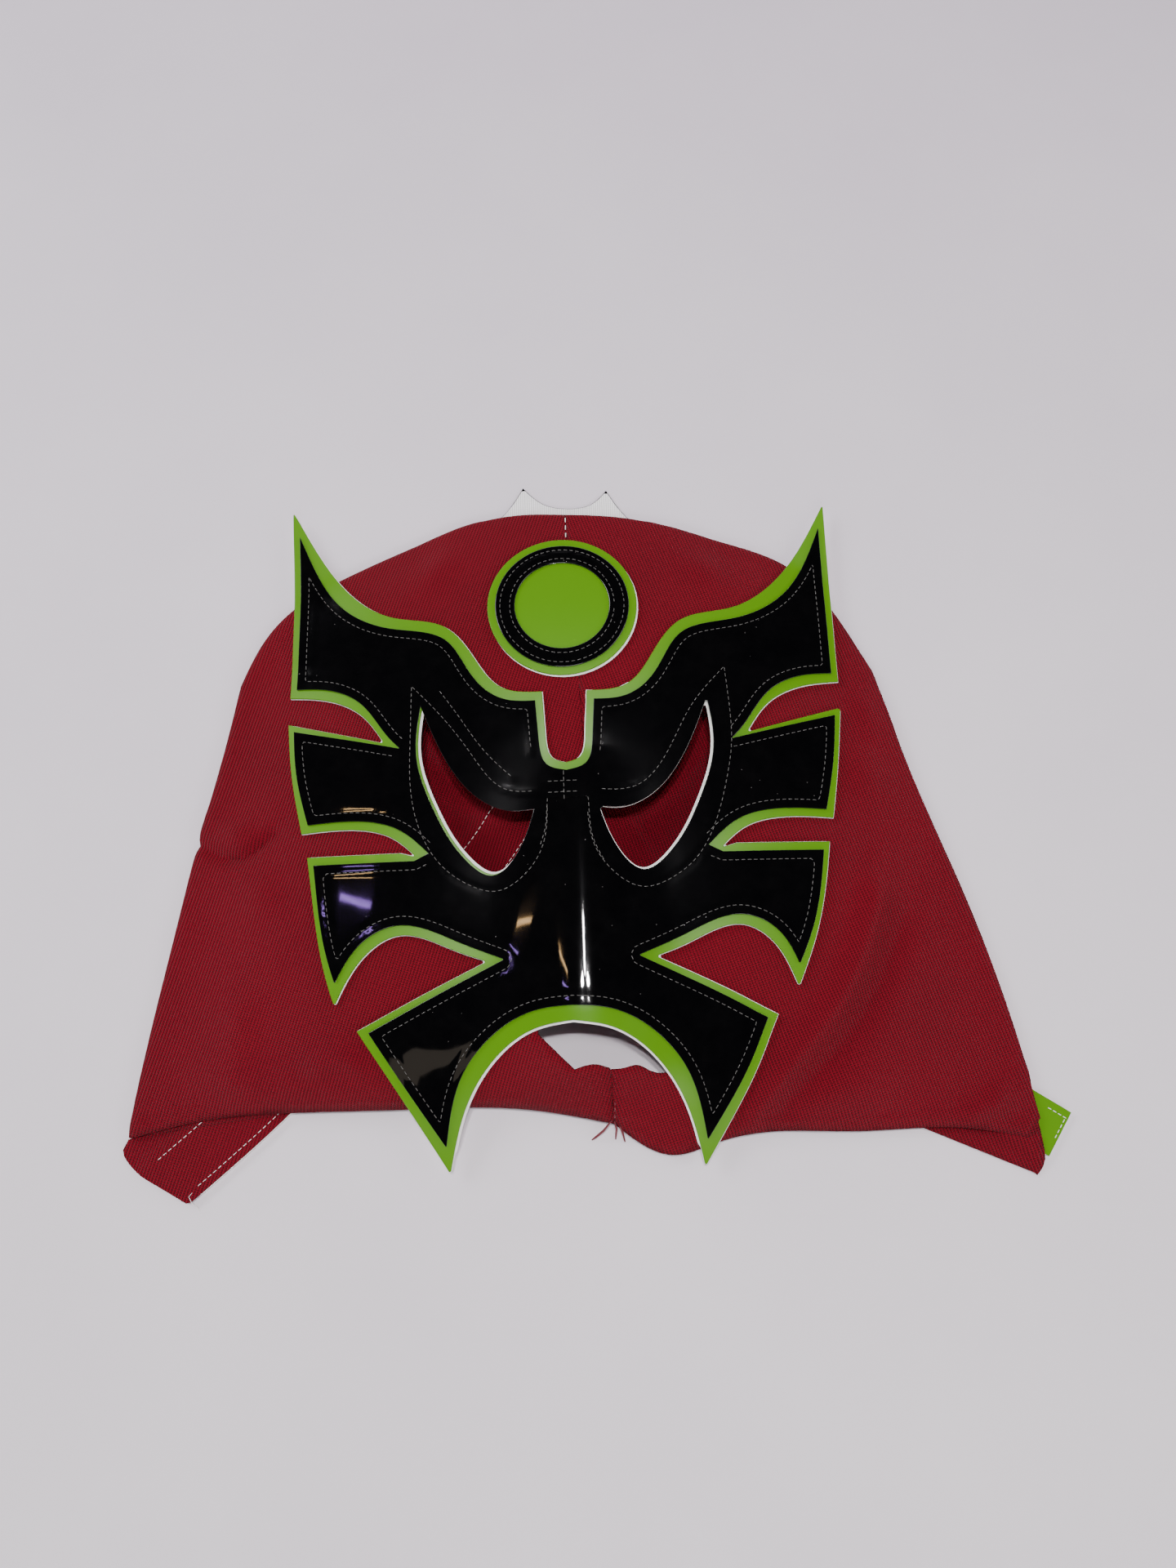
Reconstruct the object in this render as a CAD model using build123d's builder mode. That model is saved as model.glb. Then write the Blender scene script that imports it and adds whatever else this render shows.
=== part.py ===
from build123d import *
import math
import os

os.makedirs("parts", exist_ok=True)

# Hood mask lying on its back. Origin: the table surface under the forehead disc's centre.
# +X to the right of the mask as seen, +Y from chin to crown, +Z out of the face. Millimetres.

# Driving dimensions
knit = 0.8                # thickness of the hood cloth
gap = 0.05                # clearance between two sewn layers
backing = 0.6             # stiff white backing
vinyl = 0.8               # green vinyl and black patent
tape = 0.5                # closure strip vinyl and its backing, each
fold_height = 2.6         # inner height of the hood along its side folds
dome_rise = 11            # how far the front stands above the folds
nose_rise = 9             # extra height of the nose at the mouth
disc_radius = 27.5        # green forehead disc
ring_radius = 24.6        # outside of the black ring
ring_hole_radius = 17.4   # green shows inside it
left_strip_width = 20     # closure strip on the left slit edge
right_strip_width = 17    # closure strip on the right slit edge
margin = 1.5              # raised cloth round a strip
strip_play = 0.05         # clearance round a strip in its pocket
stitch = 0.4              # width of a row of stitching
thread = 0.25             # height of a row of stitching
border_inset = 3          # stitching inside the edges of the patent
eye_inset = 4             # stitching outside the eye openings
ring_inset = 1.8          # stitching inside both edges of the ring
tab_inset = 2.7           # stitching inside the edges of the right strip
slit_insets = (3.3, 17.3)  # stitching beside the left slit edge
hinge_gap = 0.6           # cloth left free at a fold line
grid_step = 11            # spacing of the points that carry the front's form
tall = 60                 # more than the height of the whole mask
wide = 400                # more than its width and length

# Heights of the layers above the form of the front
cloth_low, cloth_high = 0, knit
backing_low = cloth_high + gap
backing_high = backing_low + backing
base_low = backing_high + gap
base_high = base_low + vinyl
overlay_low = base_high + gap
overlay_high = overlay_low + vinyl
patch_high = overlay_high + gap + vinyl / 2
row_low = overlay_high + gap
row_high = row_low + thread


# The form of the front: a broad dome that fades to the side folds, with a nose that grows to the mouth
def fade(u):
    """1 at u = 0, 0 from u = 1 on, with a flat top and a soft foot."""
    u = min(abs(u), 1)
    return 1 - 3 * u**4 + 2 * u**6


def half_width(y):
    """Half the width of the hood at height y."""
    if y > -20:
        return 112 * (1 - max(0, (y + 20) / 64) ** 2.6) + 2
    return 114 + 44 * ((-20 - y) / 165) ** 0.9


def front_height(x, y):
    crown = fade((y + 80) / 128) if y > -80 else 1
    chin = fade((-110 - y) / 95) if y < -110 else 1
    dome = dome_rise * crown * chin * fade(x / max(half_width(y), 20))
    growth = min(max((-55 - y) / 90, 0), 1)
    spread = 9 + 13 * growth
    lip = fade((-150 - y) / 30) if y < -150 else 1
    nose = nose_rise * growth * lip * math.exp(-((x / spread) ** 2))
    return fold_height + dome + nose


form_points = [
    [(x, y, front_height(x, y)) for y in range(-220, 67, grid_step)]
    for x in range(-176, 177, grid_step)
]
front_form = Solid.extrude(Face.make_surface_from_array_of_points(form_points), (0, 0, -tall))


def curve(*runs):
    """Draw runs of points: two points make a line, more make a smooth curve."""
    for run in runs:
        if len(run) == 2:
            Line(*run)
        else:
            Spline(*run)


def drape(outline, low, high):
    """Make the part of the outline's prism that lies between two heights above the front's form."""
    extrude(outline, amount=tall)
    add(front_form.moved(Location((0, 0, high))), mode=Mode.INTERSECT)
    add(front_form.moved(Location((0, 0, low))), mode=Mode.SUBTRACT)


def slab(outline, low, high, mode=Mode.ADD):
    """Make a flat sheet between two heights above the table."""
    extrude(outline.moved(Location((0, 0, low))), amount=high - low, mode=mode)


def finish(piece, name):
    piece.part.label = name
    export_step(piece.part, "parts/" + name + ".step")


# Outlines of the face decoration, right half, mirrored about the centre line
with BuildSketch() as eye_hole:
    with BuildLine():
        curve(
            [(51, -37), (52.5, -56), (46.5, -75), (35.5, -93), (26, -99), (17, -91), (11, -76)],
            [(11, -76), (19, -76.5), (30, -72), (42, -57.5), (51, -37)],
        )
    make_face()
    mirror(about=Plane.YZ)

with BuildSketch() as base_shape:
    with BuildLine():
        curve(
            [(0, -60), (5, -58), (7, -52)],
            [(7, -52), (8, -33.5)],
            [(8, -33.5), (22.5, -31.5), (33.5, -18), (43.5, -7), (62, -2.5), (82, 11.5), (100, 38)],
            [(100, 38), (100.5, -31)],
            [(100.5, -31), (88.5, -32.5), (73.5, -39.5), (65, -50.5)],
            [(65, -50.5), (100.5, -41)],
            [(100.5, -41), (98, -61), (94.5, -82)],
            [(94.5, -82), (75.5, -81.5), (62, -85), (53.5, -92)],
            [(53.5, -92), (59, -90.5)],
            [(59, -90.5), (92.5, -90.5)],
            [(92.5, -90.5), (86.5, -123), (80.5, -140.5)],
            [(80.5, -140.5), (71, -125), (60.5, -119), (40, -125), (29, -129)],
            [(29, -129), (73, -149.5)],
            [(73, -149.5), (63.5, -166.5), (43.5, -200)],
            [(43.5, -200), (37.5, -178), (29.5, -164.5), (13, -152), (0, -149.5)],
        )
        mirror(about=Plane.YZ)
    make_face()

with BuildSketch() as overlay_shape:
    with BuildLine():
        curve(
            [(0, -63), (7, -60.5), (9.5, -52)],
            [(9.5, -52), (10.5, -37)],
            [(10.5, -37), (22, -36), (32, -28.5), (43, -12.5), (63, -7), (82, 3), (97.5, 29)],
            [(97.5, 29), (98, -28)],
            [(98, -28), (87, -29), (74, -35), (62.5, -49.5), (59, -53)],
            [(59, -53), (98, -44)],
            [(98, -44), (96, -61), (92, -79)],
            [(92, -79), (75.5, -78.5), (60, -82), (49, -91)],
            [(49, -91), (54, -93.5)],
            [(54, -93.5), (90, -93.5)],
            [(90, -93.5), (85, -121), (80.5, -133)],
            [(80.5, -133), (73, -121.5), (60.5, -115.5), (40, -121.5), (23, -128.5)],
            [(23, -128.5), (69, -150.5)],
            [(69, -150.5), (60, -166.5), (44.5, -191)],
            [(44.5, -191), (37.5, -165.5), (31, -157), (13, -146), (0, -144.5)],
        )
        mirror(about=Plane.YZ)
    make_face()

with BuildSketch() as bridge_shape:
    with BuildLine():
        Polyline((-10, -65), (10, -65), (8.5, -73), (-8.5, -73), close=True)
    make_face()

# The hood as it lies: left and right differ by a few millimetres
seam = 2                                         # x of the hood's centre seams at the crown
chin_seam = 13                                   # x of the front seam at the hem
left_top = [(seam, 38), (-26, 37.5), (-52, 28), (-79, 16), (-102, 2), (-110, -7), (-119, -25)]
left_side = [(-119, -25), (-124, -48), (-133, -84), (-141, -120), (-147, -148), (-154, -185)]
right_top = [(seam + gap, 38), (30, 35), (57, 26), (85, 14), (100, -4), (113, -27)]
right_side = [(113, -27), (124, -66), (138, -106), (152, -155), (159, -188)]
front_hem_left = [(-154, -185), (-130, -180), (-99, -178), (-60, -178), (-19, -179), (chin_seam, -185)]
front_hem_right = [(chin_seam + gap, -185), (33, -196), (49, -192), (97, -190), (132, -190), (155, -194)]
left_slit_edge = [(seam, -61), (-23, -99), (-60, -139), (-100, -179), (-133, -207)]
right_slit_edge = [(seam + gap, -61), (14, -105), (45, -150), (95, -179), (159, -207)]
left_hem_edge = [(-133, -207), (-155, -190)]
left_hinge = [(-157, -188.6), (-98, -181.6)]      # fold line of the turned corner
right_hinge = [(161.5, -172), (163.5, -204)]      # fold line of the free strip end

with BuildSketch() as mouth_hole:
    with BuildLine():
        curve(
            [(-12, -154), (0, -166)],
            [(0, -166), (14, -167), (33, -168)],
            [(33, -168), (38, -160), (28, -147), (10, -141), (-12, -143)],
            [(-12, -143), (-12, -154)],
        )
    make_face()

with BuildSketch() as front_left_shape:
    with BuildLine():
        curve(left_top, left_side, front_hem_left, [(chin_seam, -185), (seam, 38)])
    make_face()
    add(eye_hole.sketch, mode=Mode.SUBTRACT)
    add(mouth_hole.sketch, mode=Mode.SUBTRACT)

with BuildSketch() as front_right_shape:
    with BuildLine():
        curve(
            right_top,
            right_side,
            [(159, -188), (155, -194)],
            front_hem_right[::-1],
            [(chin_seam + gap, -185), (seam + gap, 38)],
        )
    make_face()
    add(eye_hole.sketch, mode=Mode.SUBTRACT)
    add(mouth_hole.sketch, mode=Mode.SUBTRACT)

with BuildSketch() as back_left_shape:
    with BuildLine():
        curve(
            left_top,
            left_side,
            [(-154, -185), (-155, -190)],
            left_hem_edge[::-1],
            left_slit_edge[::-1],
            [(seam, -61), (seam, 38)],
        )
    make_face()

with BuildSketch() as back_right_shape:
    with BuildLine():
        curve(
            right_top,
            right_side,
            [(159, -188), (159, -207)],
            right_slit_edge[::-1],
            [(seam + gap, -61), (seam + gap, 38)],
        )
    make_face()

# What is sewn under the back panels: the closure strips and the crown crest
left_strip_top = 2 * tape + gap
right_strip_top = 3 * tape + 2 * gap
crest_top = 2 * tape + gap

with BuildLine() as left_slit_line:
    Spline(*left_slit_edge)

with BuildLine() as right_strip_line:
    right_strip_run = Spline(
        (12, -76), (25, -104), (54, -142), (96, -162), (138.5, -175.5), tangents=((5, -11), (14, -9))
    )
    Line(right_strip_run @ 1, (166.5, -193.5))


def left_band(width):
    """The stretch of the left back panel within a width of its slit edge."""
    with BuildSketch() as band:
        trace(left_slit_line.line, line_width=2 * width)
        add(back_left_shape.sketch, mode=Mode.INTERSECT)
    return band.sketch


def right_band(width):
    """A strip of this width along the right strip's centre line."""
    with BuildSketch() as band:
        trace(right_strip_line.line, line_width=width)
    return band.sketch


with BuildSketch() as crest_shape:
    with BuildLine():
        curve(
            [(-27, 36), (-20, 43), (-14, 52)],
            [(-14, 52), (-6, 45), (3, 43), (12, 44.5), (18, 50)],
            [(18, 50), (23, 42), (29, 35)],
            [(29, 35), (24, 22), (2, 15), (-22, 22), (-27, 36)],
        )
    make_face()


def beside(fold, side):
    """All that lies on one side of a fold line: 1 is left of its direction, -1 right of it."""
    start, end = Vector(*fold[0]), Vector(*fold[1])
    along = (end - start).normalized()
    across = Vector(-along.Y, along.X) * side
    middle = (start + end) * 0.5 + across * (hinge_gap + wide) / 2
    turn = math.degrees(math.atan2(along.Y, along.X))
    return Location(middle, (0, 0, turn)) * Rectangle(2 * wide, wide)


hood_side = beside(left_hinge, 1)
corner_side = beside(left_hinge, -1)
strip_side = beside(right_hinge, -1)
tab_side = beside(right_hinge, 1)


def clip(shape, *others):
    """What a shape shares with the others."""
    with BuildSketch() as shared:
        add(shape)
        for other in others:
            add(other, mode=Mode.INTERSECT)
    return shared.sketch


def border(shape, depth):
    """The stretch of a shape within a depth of its edges."""
    with BuildSketch() as band:
        trace(shape.edges(), line_width=2 * depth)
    return band.sketch


def row(shape, inset):
    """A row of stitching along the whole border of a shape, inset from it."""
    with BuildSketch() as line:
        add(border(shape, inset + stitch / 2))
        add(border(shape, inset - stitch / 2), mode=Mode.SUBTRACT)
    return line.sketch


def back_cloth(outline, pockets):
    """Cloth on the table, raised where a strip or the crest is sewn under it."""
    slab(outline, 0, knit)
    for raised, _, top in pockets:
        slab(clip(raised, outline), 0, top + gap + knit)
    for _, pocket, top in pockets:
        slab(clip(pocket, outline), 0, top + gap, mode=Mode.SUBTRACT)


def slit_row(inset):
    """A row of stitching on the left back panel at this distance from its slit edge."""
    with BuildSketch() as line:
        add(left_band(inset + stitch / 2))
        add(left_band(inset - stitch / 2), mode=Mode.SUBTRACT)
    return line.sketch


left_pocket = (
    left_band(left_strip_width + margin),
    left_band(left_strip_width + strip_play),
    left_strip_top,
)
right_pocket = (
    right_band(right_strip_width + 2 * margin),
    right_band(right_strip_width + 2 * strip_play),
    right_strip_top,
)
crest_width = 58
crest_length = 46
with BuildSketch(Location((1, 36))) as crest_room:
    Rectangle(crest_width, crest_length)
with BuildSketch(Location((1, 36))) as crest_raise:
    Rectangle(crest_width + 2 * margin, crest_length + 2 * margin)
crest_pocket = (crest_raise.sketch, crest_room.sketch, crest_top)

# Hood: two front halves over two back halves
with BuildPart() as front_left_panel:
    drape(front_left_shape.sketch, cloth_low, cloth_high)
finish(front_left_panel, "front_left_panel")

with BuildPart() as front_right_panel:
    drape(front_right_shape.sketch, cloth_low, cloth_high)
finish(front_right_panel, "front_right_panel")

with BuildPart() as back_left_panel:
    back_cloth(clip(back_left_shape.sketch, hood_side), [left_pocket, crest_pocket])
finish(back_left_panel, "back_left_panel")

with BuildPart() as back_right_panel:
    back_cloth(back_right_shape.sketch, [right_pocket, crest_pocket])
finish(back_right_panel, "back_right_panel")

# Turned lower left corner of the hood, free to lift at its fold
with BuildPart() as corner_cloth:
    back_cloth(clip(back_left_shape.sketch, corner_side), [left_pocket])
finish(corner_cloth, "corner_cloth")

# Left closure strip: loop tape outside, stiff backing between it and the cloth
for name, zone in (("left_strip", hood_side), ("corner_strip", corner_side)):
    strip_shape = clip(left_band(left_strip_width), zone)
    with BuildPart() as loop_tape:
        slab(strip_shape, 0, tape)
    finish(loop_tape, name + "_loop_tape")
    with BuildPart() as strip_backing:
        slab(strip_shape, tape + gap, left_strip_top)
    finish(strip_backing, name + "_backing")
    left_rows = [clip(slit_row(inset), zone) for inset in slit_insets]
    row_bottom = left_strip_top + gap + knit + gap
    with BuildPart() as strip_thread:
        for strip_row in left_rows:
            slab(strip_row, row_bottom, row_bottom + thread)
    finish(strip_thread, name + "_thread")

# Right closure strip: hook tape outside, backing, green vinyl towards the cloth; its end is free
for name, zone in (("right_strip", strip_side), ("tab", tab_side)):
    strip_shape = clip(right_band(right_strip_width), zone)
    with BuildPart() as hook_tape:
        slab(strip_shape, 0, tape)
    finish(hook_tape, name + "_hook_tape")
    with BuildPart() as strip_backing:
        slab(strip_shape, tape + gap, 2 * tape + gap)
    finish(strip_backing, name + "_backing")
    with BuildPart() as strip_vinyl:
        slab(strip_shape, 2 * (tape + gap), right_strip_top)
    finish(strip_vinyl, name + "_vinyl")

with BuildPart() as tab_thread:
    tab_row = clip(row(right_band(right_strip_width), tab_inset), right_band(right_strip_width), tab_side)
    slab(tab_row, right_strip_top + gap, right_strip_top + gap + thread)
finish(tab_thread, "tab_thread")

# Crown crest, sewn under the back panels
with BuildPart() as crest_face:
    slab(crest_shape.sketch, 0, tape)
finish(crest_face, "crest_face")

with BuildPart() as crest_backing:
    slab(crest_shape.sketch, tape + gap, crest_top)
finish(crest_backing, "crest_backing")

# Face decoration in three layers, open at the eyes
with BuildPart() as face_backing:
    drape(base_shape.sketch, backing_low, backing_high)
    extrude(eye_hole.sketch, amount=tall, mode=Mode.SUBTRACT)
finish(face_backing, "face_backing")

with BuildPart() as face_base:
    drape(base_shape.sketch, base_low, base_high)
    extrude(eye_hole.sketch, amount=tall, mode=Mode.SUBTRACT)
finish(face_base, "face_base")

with BuildPart() as face_overlay:
    drape(overlay_shape.sketch, overlay_low, overlay_high)
    extrude(eye_hole.sketch, amount=tall, mode=Mode.SUBTRACT)
finish(face_overlay, "face_overlay")

# Doubled patent across the bridge of the nose
with BuildPart() as bridge_patch:
    drape(bridge_shape.sketch, overlay_high + gap, patch_high)
finish(bridge_patch, "bridge_patch")

# Forehead disc
with BuildSketch() as disc_shape:
    Circle(disc_radius)
with BuildSketch() as ring_shape:
    Circle(ring_radius)
    Circle(ring_hole_radius, mode=Mode.SUBTRACT)
with BuildSketch() as ring_rows:
    for row_radius in (ring_radius - ring_inset, ring_hole_radius + ring_inset):
        Circle(row_radius + stitch / 2)
        Circle(row_radius - stitch / 2, mode=Mode.SUBTRACT)

with BuildPart() as disc_backing:
    drape(disc_shape.sketch, backing_low, backing_high)
finish(disc_backing, "disc_backing")

with BuildPart() as disc_base:
    drape(disc_shape.sketch, base_low, base_high)
finish(disc_base, "disc_base")

with BuildPart() as disc_ring:
    drape(ring_shape.sketch, overlay_low, overlay_high)
finish(disc_ring, "disc_ring")

with BuildPart() as disc_thread:
    drape(ring_rows.sketch, row_low, row_high)
finish(disc_thread, "disc_thread")

# Rows of stitching on the face decoration
with BuildPart() as border_thread:
    drape(clip(row(overlay_shape.sketch, border_inset), overlay_shape.sketch), row_low, row_high)
    extrude(bridge_shape.sketch, amount=tall, mode=Mode.SUBTRACT)
    extrude(border(eye_hole.sketch, eye_inset + stitch), amount=tall, mode=Mode.SUBTRACT)
finish(border_thread, "border_thread")

with BuildPart() as eye_thread:
    drape(row(eye_hole.sketch, eye_inset), row_low, row_high)
    extrude(eye_hole.sketch, amount=tall, mode=Mode.SUBTRACT)
    extrude(bridge_shape.sketch, amount=tall, mode=Mode.SUBTRACT)
finish(eye_thread, "eye_thread")

with BuildSketch() as bridge_rows:
    for row_y in (-67, -71):
        with Locations((0, row_y)):
            Rectangle(13, stitch)
with BuildPart() as bridge_thread:
    drape(bridge_rows.sketch, patch_high + gap, patch_high + gap + thread)
finish(bridge_thread, "bridge_thread")

# Seams of the hood: a few stitches at the crown, and the chin seam with its loose tails
with BuildSketch() as crown_row:
    with Locations((seam, 32)):
        Rectangle(stitch, 9)
with BuildPart() as crown_thread:
    drape(crown_row.sketch, cloth_high + gap, cloth_high + gap + thread)
finish(crown_thread, "crown_thread")

chin_tails = [
    [(chin_seam - 1, -184), (8, -187), (5, -191)],
    [(chin_seam, -184), (13.5, -187), (13, -192)],
    [(chin_seam + 1, -184), (16, -188), (17.5, -193)],
]
with BuildSketch() as chin_rows:
    with BuildLine():
        for tail in chin_tails:
            Spline(*tail)
    trace(line_width=stitch)
    with Locations((chin_seam, -175.5)):
        Rectangle(3, 17)
with BuildPart() as chin_thread:
    drape(chin_rows.sketch, cloth_high + gap, cloth_high + gap + thread)
finish(chin_thread, "chin_thread")
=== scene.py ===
import math

import bpy
import numpy as np
from mathutils import Matrix, Vector
from mathutils.geometry import delaunay_2d_cdt


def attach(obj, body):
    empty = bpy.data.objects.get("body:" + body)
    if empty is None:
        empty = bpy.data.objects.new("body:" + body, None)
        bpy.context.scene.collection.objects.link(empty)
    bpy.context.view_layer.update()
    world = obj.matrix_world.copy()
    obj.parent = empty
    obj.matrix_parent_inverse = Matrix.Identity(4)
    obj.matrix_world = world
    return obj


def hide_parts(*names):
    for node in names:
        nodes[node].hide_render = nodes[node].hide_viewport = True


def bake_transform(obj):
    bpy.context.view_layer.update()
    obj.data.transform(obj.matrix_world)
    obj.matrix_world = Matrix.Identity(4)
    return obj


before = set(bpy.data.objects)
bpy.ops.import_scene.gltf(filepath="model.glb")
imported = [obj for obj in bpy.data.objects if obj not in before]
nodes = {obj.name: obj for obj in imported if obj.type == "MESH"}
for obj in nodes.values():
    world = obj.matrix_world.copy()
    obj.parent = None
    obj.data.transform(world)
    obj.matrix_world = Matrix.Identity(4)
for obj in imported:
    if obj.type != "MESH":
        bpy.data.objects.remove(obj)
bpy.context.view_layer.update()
mm = 0.001  # outlines and heights below are in millimetres
print("frame loaded", len(nodes), "nodes")


def smoothRun(points, step):  # a curve through the points, sampled about every step
    p = np.array(points, float)
    if len(p) == 2:
        n = max(1, int(np.hypot(*(p[1] - p[0])) / step))
        return p[0] + (p[1] - p[0]) * np.linspace(0, 1, n + 1)[:, None]
    t = np.concatenate([[0], np.cumsum(np.hypot(*np.diff(p, axis=0).T))])
    h = np.diff(t)
    a = np.zeros((len(p), len(p)))
    b = np.zeros((len(p), 2))
    a[0, 0] = a[-1, -1] = 1  # ends free of curvature
    for i in range(1, len(p) - 1):
        a[i, i - 1 : i + 2] = h[i - 1], 2 * (h[i - 1] + h[i]), h[i]
        b[i] = 6 * ((p[i + 1] - p[i]) / h[i] - (p[i] - p[i - 1]) / h[i - 1])
    m = np.linalg.solve(a, b)
    out = []
    for i in range(len(h)):
        u = np.linspace(0, h[i], max(2, int(h[i] / step) + 1))[:, None]
        w = h[i] - u
        out.append(
            (m[i] * w**3 + m[i + 1] * u**3) / (6 * h[i])
            + (p[i] / h[i] - m[i] * h[i] / 6) * w
            + (p[i + 1] / h[i] - m[i + 1] * h[i] / 6) * u
        )
    return np.concatenate([o[:-1] for o in out[:-1]] + [out[-1]])


def joined(runs, step):  # runs drawn end to end, without repeated points
    parts = [smoothRun(r, step) for r in runs]
    return np.concatenate([p[:-1] for p in parts] + [parts[-1][-1:]])


def closed(runs, step):
    line = joined(runs, step)
    return line[:-1] if np.hypot(*(line[0] - line[-1])) < 1e-6 else line


def mirrored(runs, step):  # a loop from its right half, which starts and ends on the centre line
    half = joined(runs, step)
    other = half[::-1][1:-1] * [-1, 1]
    return np.concatenate([half, other])


def distanceTo(points, line):  # distance from each point to a polyline
    p = np.asarray(points, float)
    a, d = line[:-1], np.diff(line, axis=0)
    best = np.full(len(p), 1e9)
    for i in range(len(a)):
        t = np.clip(((p - a[i]) @ d[i]) / max(d[i] @ d[i], 1e-12), 0, 1)
        q = a[i] + t[:, None] * d[i]
        best = np.minimum(best, np.hypot(*(p - q).T))
    return best


def loopBack(loop):
    return np.concatenate([loop, loop[:1]])


def inside(points, loop):  # true for the points inside a loop
    x, y = np.asarray(points, float).T
    found = np.zeros(len(x), bool)
    for (ax, ay), (bx, by) in zip(loop, np.roll(loop, -1, axis=0)):
        if ay != by:
            found ^= ((ay > y) != (by > y)) & (x < (bx - ax) * (y - ay) / (by - ay) + ax)
    return found


def area(loop):
    x, y = loop.T
    return 0.5 * (x @ np.roll(y, -1) - y @ np.roll(x, -1))


# the loop moved outwards by a distance, with the stretches that would cross left out
def offsetLoop(loop, distance):
    turn = 1 if area(loop) > 0 else -1
    before, after = loop - np.roll(loop, 1, axis=0), np.roll(loop, -1, axis=0) - loop
    along = before / np.hypot(*before.T)[:, None] + after / np.hypot(*after.T)[:, None]
    along /= np.maximum(np.hypot(*along.T), 1e-6)[:, None]
    moved = loop + np.stack([along[:, 1], -along[:, 0]], 1) * turn * np.reshape(distance, (-1, 1))
    keep = distanceTo(moved, loopBack(loop)) > np.abs(distance) * 0.97
    return moved[keep]


def resampled(line, step):
    t = np.concatenate([[0], np.cumsum(np.hypot(*np.diff(line, axis=0).T))])
    s = np.linspace(0, t[-1], max(2, int(round(t[-1] / step)) + 1))
    return np.stack([np.interp(s, t, line[:, 0]), np.interp(s, t, line[:, 1])], 1)


step = 1.6
lie = [  # where the decoration lies off its own symmetry: place, reach, shift
    ((-100, 40), 22, (-1.5, 5.0)),
    ((100, 40), 16, (0.0, 1.5)),
    ((-84, -142), 26, (-1.6, -2.2)),
    ((84, -142), 30, (-1.8, 0.0)),
    ((-100, -60), 24, (-1.3, 0.0)),
    ((74, -150), 16, (-1.4, -0.3)),
]


def laid(loop):  # the outline as it lies, a little off its own symmetry
    out = loop.copy()
    for spot, reach, shift in lie:
        weight = np.exp(-(((loop - np.array(spot)) ** 2).sum(1)) / reach**2)
        out += weight[:, None] * np.array(shift)
    return out


eyeRight = closed(
    [
        [(51, -37), (52.5, -56), (46.5, -75), (35.5, -93), (26, -99), (17, -91), (11, -76)],
        [(11, -76), (19, -76.5), (30, -72), (42, -57.5), (51, -37)],
    ],
    step,
)
eyeLeft = eyeRight * [-1, 1]
baseLoop = mirrored(
    [
        [(0, -60), (5, -58), (7, -52)],
        [(7, -52), (8, -33.5)],
        [(8, -33.5), (22.5, -31.5), (33.5, -18), (43.5, -7), (62, -2.5), (82, 11.5), (100, 38)],
        [(100, 38), (100.5, -31)],
        [(100.5, -31), (88.5, -32.5), (73.5, -39.5), (65, -50.5)],
        [(65, -50.5), (100.5, -41)],
        [(100.5, -41), (98, -61), (94.5, -82)],
        [(94.5, -82), (75.5, -81.5), (62, -85), (53.5, -92)],
        [(53.5, -92), (59, -90.5)],
        [(59, -90.5), (92.5, -90.5)],
        [(92.5, -90.5), (86.5, -123), (80.5, -140.5)],
        [(80.5, -140.5), (71, -125), (60.5, -119), (40, -125), (29, -129)],
        [(29, -129), (73, -149.5)],
        [(73, -149.5), (63.5, -166.5), (43.5, -200)],
        [(43.5, -200), (37.5, -178), (29.5, -164.5), (13, -152), (0, -149.5)],
    ],
    step,
)
overlayLoop = mirrored(
    [
        [(0, -63), (7, -60.5), (9.5, -52)],
        [(9.5, -52), (10.5, -37)],
        [(10.5, -37), (22, -36), (32, -28.5), (43, -12.5), (63, -7), (82, 3), (97.5, 29)],
        [(97.5, 29), (98, -28)],
        [(98, -28), (87, -29), (74, -35), (62.5, -49.5), (59, -53)],
        [(59, -53), (98, -44)],
        [(98, -44), (96, -61), (92, -79)],
        [(92, -79), (75.5, -78.5), (60, -82), (49, -91)],
        [(49, -91), (54, -93.5)],
        [(54, -93.5), (90, -93.5)],
        [(90, -93.5), (85, -121), (80.5, -133)],
        [(80.5, -133), (73, -121.5), (60.5, -115.5), (40, -121.5), (23, -128.5)],
        [(23, -128.5), (69, -150.5)],
        [(69, -150.5), (60, -166.5), (44.5, -191)],
        [(44.5, -191), (37.5, -165.5), (31, -157), (13, -146), (0, -144.5)],
    ],
    step,
)


def blunted(loop, cut):  # the outline with its sharp tips cut a little short
    out = []
    for before, here, after in zip(np.roll(loop, 1, axis=0), loop, np.roll(loop, -1, axis=0)):
        a, b = before - here, after - here
        a, b = a / np.hypot(*a), b / np.hypot(*b)
        if a @ b > 0.35:
            out += [here + a * cut, here + (a + b) * cut * 0.38, here + b * cut]
        else:
            out.append(here)
    return np.array(out)


baseLoop, overlayLoop = blunted(laid(baseLoop), 1.1), blunted(laid(overlayLoop), 0.6)
seam, chinSeam = 2, 13  # where the centre seam lies across, at the crown and at the chin
crownY, chinY = 38, -185
leftTop = [(seam, 38), (-26, 37.5), (-52, 28), (-79, 16), (-102, 2), (-110, -7), (-119, -25)]
leftSide = [(-119, -25), (-124, -48), (-133, -84), (-141, -120), (-147, -148), (-154, -185)]
rightTop = [(seam, 38), (30, 35), (57, 26), (85, 14), (100, -4), (113, -27)]
rightSide = [(113, -27), (124, -66), (138, -106), (152, -155), (159, -188)]
hemLeft = [(-154, -185), (-130, -180), (-99, -178), (-60, -178), (-19, -179), (chinSeam, -185)]
hemRight = [(chinSeam, -185), (33, -196), (49, -192), (97, -190), (132, -190), (155, -194)]
leftSlit = [(seam, -61), (-23, -99), (-60, -139), (-100, -179), (-133, -207)]
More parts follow.
